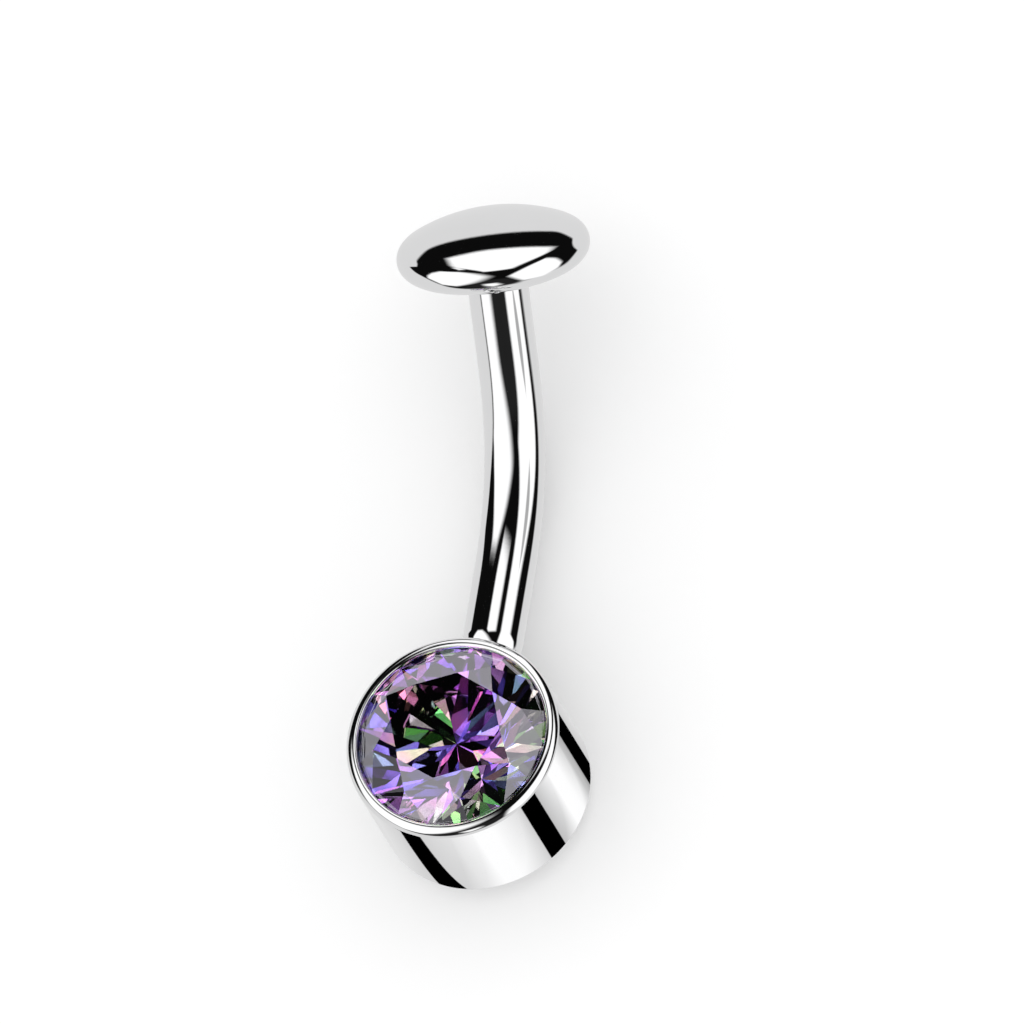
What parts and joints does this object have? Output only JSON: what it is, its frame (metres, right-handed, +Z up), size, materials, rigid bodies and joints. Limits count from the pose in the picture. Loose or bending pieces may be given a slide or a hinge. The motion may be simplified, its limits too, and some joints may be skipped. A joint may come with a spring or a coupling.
{
  "type": "navel ring",
  "caption": "Push-fit navel ring: a bent post with a domed disc fixed on one end, and a plain cup with a round cut stone whose soldered pin presses into the other end.",
  "frame": {"origin": "bottom centre of the bounding box, on the surface that the ring lies on", "axes": "+Y along the ring's length from the cup to the disc, +X across it, +Z up"},
  "size_m": [0.0058, 0.0182, 0.0063],
  "materials": {
    "post_metal": "mirror polish",
    "cup_metal": "mirror polish",
    "cut_stone": "polished facets"
  },
  "bodies": {
    "post": {"curved_post": "post_metal"},
    "setting": {"bezel_cup": "cup_metal", "stone": "cut_stone"}
  },
  "joints": [
    {"name": "pin_pull", "type": "slide", "parent": "post", "child": "setting", "axis": [0, -0.9891, 0.1475], "range_m": [0, 0.012]}
  ]
}
